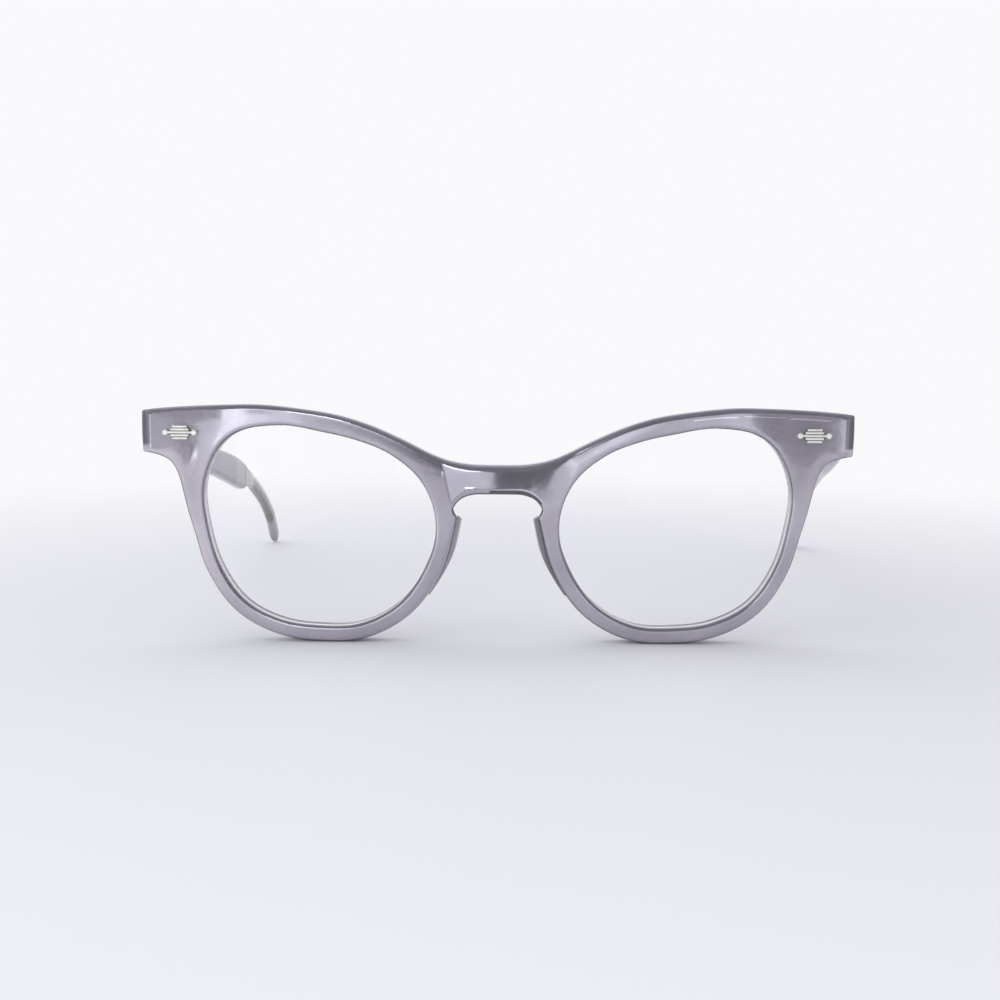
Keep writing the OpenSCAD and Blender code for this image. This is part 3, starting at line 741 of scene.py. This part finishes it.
def plaque_plate(x, z):
    """The backing plate: a flat hexagon drawn out of a six-sided disc."""
    bpy.ops.object.select_all(action="DESELECT")
    bpy.ops.mesh.primitive_cylinder_add(
        vertices=6, radius=0.5, depth=1, location=(0, 0, 0), rotation=(math.pi / 2, 0, 0)
    )
    plate = bpy.context.object
    bpy.ops.object.transform_apply(location=True, rotation=True, scale=True)
    tip, flat, high = 0.33 * PLAQUE_L, 0.22 * PLAQUE_L, 1.05
    shape = [(-tip, 0), (-flat, -high), (flat, -high), (tip, 0), (flat, high), (-flat, high)]

    def round_middle(p, q):
        return math.atan2(q, p) % (2 * math.pi)

    shape.sort(key=lambda p: round_middle(*p))
    corners = sorted(
        plate.data.vertices, key=lambda v: (round(v.co.y, 3), round_middle(v.co.x, v.co.z))
    )
    for k, corner in enumerate(corners):
        cx, cz = shape[k % 6]
        corner.co = placed(x + cx, 0.2 if corner.co.y > 0 else -0.36, z + cz)
    apply_modifier(plate, "BEVEL", width=0.08 * MM, segments=2, limit_method="ANGLE")
    return plate


def joined(name, pieces):
    bpy.ops.object.select_all(action="DESELECT")
    for piece in pieces:
        piece.select_set(True)
    bpy.context.view_layer.objects.active = pieces[0]
    bpy.ops.object.join()
    pieces[0].name = name
    return pieces[0]


# near-white and mostly matt: silver's pale tone with a painted reflection of a bright room
silver = silver_material("worn_silver_painted_glare", (0.86, 0.84, 0.77), (0.98, 0.97, 0.94))
# the backing plate shows between the ribs in dark tones: painted shade in the recesses
recess_shade = silver_material("shaded_recess", (0.1, 0.09, 0.08), (0.3, 0.28, 0.25))
for name, side in SIDES.items():
    middle_x = side * (END_X - PLAQUE_IN - PLAQUE_SHIFT[name])
    middle_z = END_MID - PLAQUE_DROP + PLAQUE_LIFT[name]
    pieces = [plaque_plate(middle_x, middle_z)]
    pieces[0].data.materials.append(recess_shade)
    for k in range(-2, 3):
        length = PLAQUE_L - 2 * BOSS_R if k == 0 else PLAQUE_L * (0.62 - 0.09 * abs(k))
        pieces.append(rib(length, middle_x, -0.5, middle_z + k * RIB_STEP, RIB_W))
    for end in (-1, 1):
        pieces.append(boss(middle_x + end * (PLAQUE_L / 2 - BOSS_R), 0, middle_z))
    for piece in pieces[1:]:
        piece.data.materials.append(silver)
    plaque = joined("ribbed_plaque_" + name, pieces)
    smooth_below(plaque, 40)
    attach(plaque, "front")
    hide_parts("plaque_" + name)


# The hinges, their screws, rivets and pins: nickel silver, turned and milled. Their solids are
# exact, so they stay and only get their finish.
def nickel_material(name, dark, bright):
    """Satin nickel silver with a turned grain and a faint brown tarnish."""
    material, tree, shader = new_finish(name)
    nodes, links = tree
    shader.inputs["Metallic"].default_value = 1
    place = nodes.new("ShaderNodeTexCoord")
    stretched = nodes.new("ShaderNodeMapping")
    stretched.inputs["Scale"].default_value = (300, 300, 2600)
    links.new(place.outputs["Object"], stretched.inputs["Vector"])
    grain = noise(tree, stretched.outputs["Vector"], 1, 3)
    links.new(two_tones(tree, grain, dark, bright, 0.3, 0.6), shader.inputs["Base Color"])
    links.new(graded(tree, grain, 0, 1, 0.22, 0.45, "LINEAR"), shader.inputs["Roughness"])
    return material


nickel = nickel_material("satin_nickel_silver", (0.3, 0.27, 0.23), (0.6, 0.58, 0.55))
wire = nickel_material("drawn_core_wire", (0.17, 0.14, 0.12), (0.36, 0.32, 0.29))
for kind in ("plaque_pins_", "front_hinge_", "hinge_screw_", "temple_hinge_", "temple_rivets_",
             "temple_core_"):
    for name in SIDES:
        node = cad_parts[kind + name]
        node.data.materials.clear()
        node.data.materials.append(wire if kind == "temple_core_" else nickel)


# The temples: acetate blades shot through with a wire core. Each is broad as far as the ear,
# steps down, and bends to a thin rounded tip.
TEMPLE_T, TIP_T, DEEP, THIN = 3.7, 2.4, 7, 3.6
WIDE_END_Y, TIP_Y, BUTT_GAP = 73, 122, 0.3
KNUCKLE_D, KNUCKLE_ROOM = 2.5, 0.25
SPLAY = {"left": 0, "right": 10.6}
TEMPLE_IN = END_X - 0.3 - TEMPLE_T
AXIS_X, AXIS_Y = TEMPLE_IN - 0.4, FRONT_T + KNUCKLE_D / 2 + 0.35
BEND_Y = WIDE_END_Y + 15.5
TIP_RUN = TIP_Y - BEND_Y
WIDE_T = mix(TEMPLE_T, TIP_T, 0.6)
temple_line = [
    [FRONT_T + BUTT_GAP, END_MID, END_H - 0.5, TEMPLE_T],
    [FRONT_T + 10, END_MID * 0.93, DEEP, TEMPLE_T],
    [30, END_MID * 0.837, DEEP * 0.92, mix(TEMPLE_T, WIDE_T, 0.5)],
    [46, END_MID * 0.76, DEEP * 0.91, WIDE_T],
    [WIDE_END_Y - 12, END_MID * 0.686, DEEP, WIDE_T],
    [WIDE_END_Y - 4, END_MID * 0.642, DEEP * 1.03, WIDE_T],
    [WIDE_END_Y + 2.6, END_MID * 0.6, DEEP * 0.98, WIDE_T],
    [WIDE_END_Y + 3.4, END_MID * 0.595, DEEP * 0.92, WIDE_T],
    [BEND_Y - 6, END_MID * 0.568, mix(THIN, DEEP, 0.33), mix(WIDE_T, TIP_T, 0.5)],
    [BEND_Y, END_MID * 0.529, THIN, TIP_T],
    [BEND_Y + TIP_RUN * 0.2, END_MID * 0.466, THIN, TIP_T],
    [BEND_Y + TIP_RUN * 0.4, END_MID * 0.396, THIN, TIP_T],
    [BEND_Y + TIP_RUN * 0.61, END_MID * 0.306, THIN, TIP_T],
    [BEND_Y + TIP_RUN * 0.81, END_MID * 0.19, THIN, TIP_T],
    [TIP_Y - 2, 3, THIN, TIP_T],
    [TIP_Y - 0.7, 1.4, THIN * 0.78, TIP_T * 0.85],
    [TIP_Y, 0.55, 1.5, 1.2],
]


def splayed(name, x, y, z):
    """A point of a temple, opened to the angle it stands at."""
    side, turn = SIDES[name], math.radians(-SPLAY[name])
    dx, dy = x - AXIS_X, y - AXIS_Y
    return (
        side * (AXIS_X + dx * math.cos(turn) - dy * math.sin(turn)),
        AXIS_Y + dx * math.sin(turn) + dy * math.cos(turn),
        z,
    )


def temple_rows(name):
    """Rounded oblongs square to the temple's line, the first cut flat against the front."""
    path = smooth(temple_line, 8) + [temple_line[-1]]
    middle_x = TEMPLE_IN + TEMPLE_T / 2
    tan, cos = math.tan(math.radians(SPLAY[name])), math.cos(math.radians(SPLAY[name]))
    rows = []
    for i, (y, z, depth, thick) in enumerate(path):
        a, b = path[max(i - 1, 0)], path[min(i + 1, len(path) - 1)]
        lean = 0 if i == 0 else math.atan2(b[1] - a[1], b[0] - a[0])
        r = min(1.1, 0.42 * thick, 0.42 * depth)
        row = []
        for cx, cz, start in ((1, -1, -90), (1, 1, 0), (-1, 1, 90), (-1, -1, 180)):
            for step in range(7):
                t = math.radians(start + 15 * step)
                across = cx * (thick / 2 - r) + r * math.cos(t)
                up = cz * (depth / 2 - r) + r * math.sin(t)
                x, ry, rz = middle_x + across, y - math.sin(lean) * up, z + math.cos(lean) * up
                if i == 0:
                    ry = AXIS_Y + (FRONT_T + BUTT_GAP - AXIS_Y) / cos + (x - AXIS_X) * tan
                row.append(splayed(name, x, ry, rz))
        rows.append(row)
    return rows


def cut_hinge_relief(temple, name):
    """Mills away the butt's inner corner, where the knuckles turn."""
    bpy.ops.object.select_all(action="DESELECT")
    bpy.ops.mesh.primitive_cylinder_add(
        vertices=64, radius=(KNUCKLE_D / 2 + KNUCKLE_ROOM) * MM, depth=0.03,
        location=placed(SIDES[name] * AXIS_X, AXIS_Y, END_MID),
    )
    cutter = bpy.context.object
    apply_modifier(temple, "BOOLEAN", operation="DIFFERENCE", object=cutter, solver="EXACT")
    bpy.data.objects.remove(cutter)


# The sleeve clears between the first two distances back, and is smoky again between the others
CLEAR_FROM, CLEAR_TO, WIRE_END, SMOKY_FROM = 78, 87, 110, 115
CLEAR_TONE, CLEAR_THROUGH, SMOKY_SHARE = (0.8, 0.79, 0.81), 0.9, 0.3


def clear_sleeve(material, metallic, through):
    """Clears the acetate beyond the ear, where the wire shows, and smokes it past its end."""
    tree = nodes, links = material.node_tree.nodes, material.node_tree.links
    shader = nodes["Principled BSDF"]
    along = nodes.new("ShaderNodeSeparateXYZ")
    links.new(nodes.new("ShaderNodeTexCoord").outputs["Object"], along.inputs[0])
    clearing = graded(tree, along.outputs["Y"], CLEAR_FROM * MM, CLEAR_TO * MM)
    closing = graded(tree, along.outputs["Y"], WIRE_END * MM, SMOKY_FROM * MM, 1, SMOKY_SHARE)
    clear = reckon(tree, "MULTIPLY", clearing, closing)
    paler = nodes.new("ShaderNodeMix")
    paler.data_type = "RGBA"
    clouds = shader.inputs["Base Color"].links[0].from_socket
    links.new(clear, paler.inputs["Factor"])
    links.new(clouds, paler.inputs[6])
    paler.inputs[7].default_value = (*CLEAR_TONE, 1)
    links.new(paler.outputs[2], shader.inputs["Base Color"])
    for name, low, high in (
        ("Metallic", metallic, 0), ("Transmission Weight", through, CLEAR_THROUGH)
    ):
        links.new(reckon(tree, "MULTIPLY_ADD", clear, high - low, low), shader.inputs[name])


temple_acetate = acetate_material("temple_acetate", 0.4, 0.2, through=0.1, depth=0.7, ior=1.28)
clear_sleeve(temple_acetate, 0.4, 0.1)
for name in SIDES:
    temple = bent_grid("temple_blade_" + name, temple_rows(name), close_columns=True)
    close_ends(temple)
    face_outwards(temple)
    cut_hinge_relief(temple, name)
    smooth_below(temple, 40)
    temple.data.materials.append(temple_acetate)
    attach(temple, "temple_body_" + name)
    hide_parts("temple_" + name)


# The studio: a pale floor and backdrop, a broad soft light from the upper left, a dark room
# behind the camera, and the photograph's own viewpoint.
FLOOR_Z = -SADDLE_Z * MM
bpy.ops.object.select_all(action="DESELECT")
bpy.ops.mesh.primitive_plane_add(size=3, location=(0, 1.17, FLOOR_Z - 0.00005))
floor = bpy.context.object
floor.scale.x = 0.25
bpy.context.view_layer.update()
floor.name = "floor"
floor.data.transform(floor.matrix_world)
floor.matrix_world.identity()
PALE = (0.95, 0.95, 0.975, 1)

floor_material, tree, matt = new_finish("pale_floor")
nodes, links = tree
fill(matt, {"Base Color": (0.88, 0.88, 0.9, 1), "Roughness": 0.6})
place = nodes.new("ShaderNodeTexCoord")
path = nodes.new("ShaderNodeLightPath")
glossy = path.outputs["Is Glossy Ray"]


def laid_over(tree, share, below, above):
    """One surface over another, in the given share."""
    nodes, links = tree
    blend = nodes.new("ShaderNodeMixShader")
    for socket, value in zip(blend.inputs, (share, below, above)):
        links.new(value, socket)
    return blend.outputs["Shader"]


def glowing(below, share, strength):
    """A surface of the floor under a pale glow, in the given share."""
    glow = nodes.new("ShaderNodeEmission")
    fill(glow, {"Color": PALE, "Strength": strength})
    return laid_over(tree, share, below, glow.outputs["Emission"])


from_middle = nodes.new("ShaderNodeVectorMath")
from_middle.operation = "LENGTH"
links.new(place.outputs["Object"], from_middle.inputs[0])
far_off = graded(tree, from_middle.outputs["Value"], 0.08, 0.35)
seen = reckon(tree, "MAXIMUM", path.outputs["Is Camera Ray"], glossy)
seen = reckon(tree, "MAXIMUM", seen, path.outputs["Is Transmission Ray"])
surface = glowing(matt.outputs["BSDF"], reckon(tree, "MULTIPLY", far_off, seen), 1)

# a glowing stretch of floor at the front left, seen only in reflections: a painted reflection on
# the polished rim
across = nodes.new("ShaderNodeSeparateXYZ")
links.new(place.outputs["Object"], across.inputs[0])
glare_share = glossy
for axis, start, end in (("X", -0.04, -0.085), ("X", -0.28, -0.23), ("Y", 0.02, -0.02)):
    limit = graded(tree, across.outputs[axis], start, end)
    glare_share = reckon(tree, "MULTIPLY", glare_share, limit)
surface = glowing(surface, glare_share, 1.25)
links.new(surface, nodes["Material Output"].inputs["Surface"])
floor.data.materials.append(floor_material)

world = bpy.data.worlds.new("studio")
bpy.context.scene.world = world
world.use_nodes = True
tree = nodes, links = world.node_tree.nodes, world.node_tree.links
room = nodes["Background"]
backdrop = nodes.new("ShaderNodeBackground")
mirrored = nodes.new("ShaderNodeBackground")
backdrop.inputs["Color"].default_value = PALE
path = nodes.new("ShaderNodeLightPath")
direction = nodes.new("ShaderNodeTexCoord")
split = nodes.new("ShaderNodeSeparateXYZ")
links.new(direction.outputs["Generated"], split.inputs[0])


def ramp(value, low, high, stops):
    """A colour ramp over a range of values."""
    shade = nodes.new("ShaderNodeValToRGB")
    links.new(graded(tree, value, low, high, kind="LINEAR"), shade.inputs["Fac"])
    while len(shade.color_ramp.elements) < len(stops):
        shade.color_ramp.elements.new(0.5)
    for element, (position, grey) in zip(shade.color_ramp.elements, stops):
        element.position = position
        element.color = (grey, grey, grey * 1.04, 1)
    return shade.outputs["Color"]


links.new(ramp(split.outputs["Y"], -1, 1, [(0.3, 0.6), (0.65, 1)]), room.inputs["Color"])
sides = ramp(
    split.outputs["Y"], -1, 1,
    [(0.015, 0.05), (0.05, 0.4), (0.43, 0.4), (0.455, 0.08), (0.52, 0.08), (0.57, 0.5),
     (0.67, 0.45), (0.74, 0.1), (0.9, 0.1), (0.97, 0.95)],
)


def mixed(kind, first, second):
    """Two colours laid over each other."""
    node = nodes.new("ShaderNodeMix")
    node.data_type = "RGBA"
    node.blend_type = kind
    node.inputs["Factor"].default_value = 1
    links.new(first, node.inputs[6])
    links.new(second, node.inputs[7])
    return node.outputs[2]


low_walls = mixed("MULTIPLY", sides, ramp(split.outputs["Z"], 0.1, 0.35, [(0, 1), (1, 0.3)]))
back_ceiling = mixed(
    "MULTIPLY", ramp(split.outputs["Y"], -0.3, 1, [(0, 0), (0.5, 0.5), (0.88, 0.5), (0.96, 0.95)]),
    ramp(split.outputs["Z"], 0.2, 0.5, [(0, 0), (1, 1)]),
)
links.new(mixed("LIGHTEN", low_walls, back_ceiling), mirrored.inputs["Color"])
room.inputs["Strength"].default_value = 0.9
around = laid_over(
    tree, path.outputs["Is Glossy Ray"], room.outputs["Background"], mirrored.outputs["Background"]
)
clear = reckon(
    tree, "MAXIMUM", path.outputs["Is Camera Ray"], path.outputs["Is Transmission Ray"]
)
around = laid_over(tree, clear, around, backdrop.outputs["Background"])
links.new(around, nodes["World Output"].inputs["Surface"])


def soft_light(name, place, size, glow, facing):
    """A soft box with its brightness as seen in a mirror."""
    bpy.ops.object.light_add(type="AREA", location=place)
    light = bpy.context.object
    light.name = name
    light.data.shape = "RECTANGLE"
    light.data.size, light.data.size_y = size
    light.data.energy = glow * math.pi * size[0] * size[1]
    light.data.color = (0.96, 1, 1.05)
    light.visible_camera = False
    light.visible_transmission = False
    light.rotation_mode = "QUATERNION"
    light.rotation_quaternion = Vector(facing).to_track_quat("-Z", "Y")
    return light


# The upright panels of the window wall, 42 cm before the front, between limits in mm:
# [name, left, right, low, high, brightness]
WALL_Y = -0.42
PANELS = [
    ["far_left", -400, -318, -90, 0, 0.3],
    ["window_sill", -278, -240, -50, -14, 0.95],
    ["window_edge", -238, -205, -50, 140, 2.4],
    ["window_glare", -228, -165, 20, 62, 0.9],
    ["window_light", -205, -166, -50, 140, 1.8],
    ["window_second", -166, -126, -50, 140, 1.5],
    ["window_middle", -126, -100, -50, 140, 1.1],
    ["window_low", -100, -80, -50, 35, 0.85],
    ["window_end", -80, -55, -50, 35, 0.55],
    ["window_last", -55, -28, -50, 35, 0.32],
    ["window_high", -100, -10, 35, 118, 1.2],
    ["window_top", -130, -40, 120, 200, 4],
    ["right_first", 20, 42, -47, 31, 1.25],
    ["right_window", 42, 62, -47, 44, 1.7],
    ["right_second", 62, 76, -47, 44, 1.45],
    ["right_third", 76, 150, -47, 50, 0.93],
    ["right_fourth", 150, 205, -47, 56, 1.1],
    ["far_right", 345, 400, -50, 5, 0.9],
]
for name, left, right, low, high, glow in PANELS:
    place = (left + right) / 2 * MM, WALL_Y, (low + high) / 2 * MM
    soft_light(name, place, ((right - left) * MM, (high - low) * MM), glow, (0, 1, 0))
soft_light("left_card", (-0.213, -0.136, 0), (0.055, 0.12), 1.2, (0.213, 0.136, 0))
key_light = soft_light("key_light", (-0.5, -0.1, 0.7), (1.4, 1.2), 0.56, (0.5, 0.1, -0.7))
key_light.visible_glossy = False

# The photograph's viewpoint in metres, its tilt and roll in degrees, its focal length in mm
VIEWPOINT, TILT, ROLL, FOCAL = (0.00045, -0.2287, 0.0277), 7.197, 0.45, 42.48
bpy.ops.object.camera_add(location=VIEWPOINT)
camera = bpy.context.object
camera.name = "camera"
camera.data.sensor_width = 36
camera.data.lens = FOCAL
camera.data.clip_start = 0.01
camera.rotation_mode = "QUATERNION"
camera.rotation_quaternion = (
    Quaternion((1, 0, 0), math.radians(90 - TILT)) @ Quaternion((0, 0, 1), math.radians(ROLL))
)
bpy.context.scene.camera = camera
bpy.context.scene.view_settings.view_transform = "Standard"
